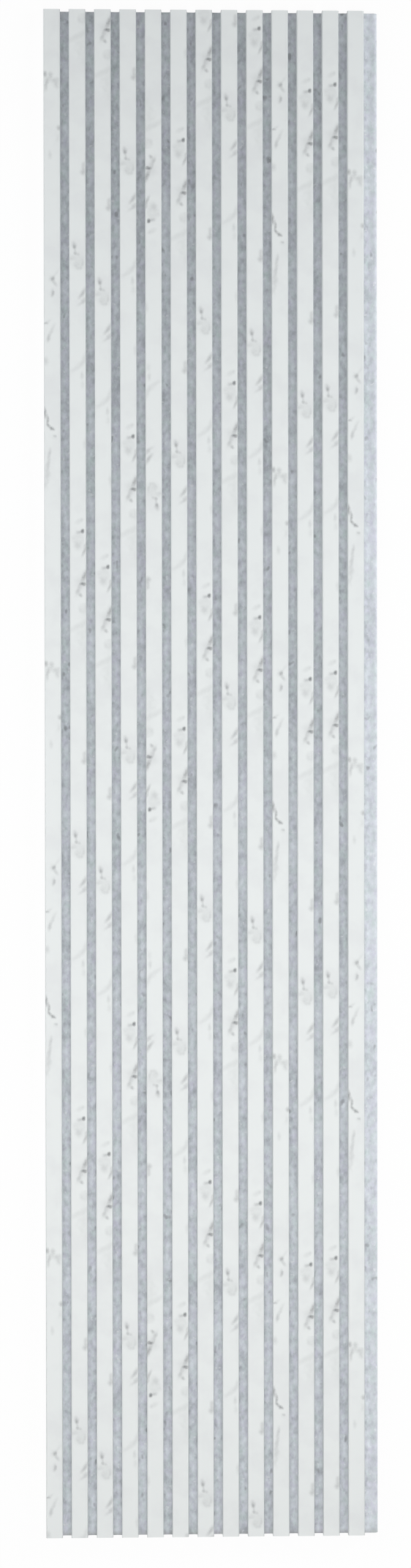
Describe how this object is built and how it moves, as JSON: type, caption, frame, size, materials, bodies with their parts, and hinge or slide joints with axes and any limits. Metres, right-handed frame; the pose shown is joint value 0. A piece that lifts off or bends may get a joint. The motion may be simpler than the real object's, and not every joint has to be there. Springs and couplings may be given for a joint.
{
  "type": "slatted acoustic wall panel",
  "caption": "Long acoustic wall panel: parallel white marble-effect slats with rounded edges on a light grey felt board, with a bare felt margin on one side for the next panel.",
  "frame": {"origin": "middle of the felt board's back face, which goes against the wall or lies on the floor", "axes": "+X across the slats, towards the bare felt margin; +Y along the slats; +Z out of the slatted face"},
  "size_m": [0.524, 2.4, 0.021],
  "materials": {
    "marble_foil": "satin",
    "felt": "matte"
  },
  "bodies": {
    "root": {"felt_board": "felt", "slat_01": "marble_foil", "slat_02": "marble_foil", "slat_03": "marble_foil", "slat_04": "marble_foil", "slat_05": "marble_foil", "slat_06": "marble_foil", "slat_07": "marble_foil", "slat_08": "marble_foil", "slat_09": "marble_foil", "slat_10": "marble_foil", "slat_11": "marble_foil", "slat_12": "marble_foil", "slat_13": "marble_foil"}
  },
  "joints": []
}
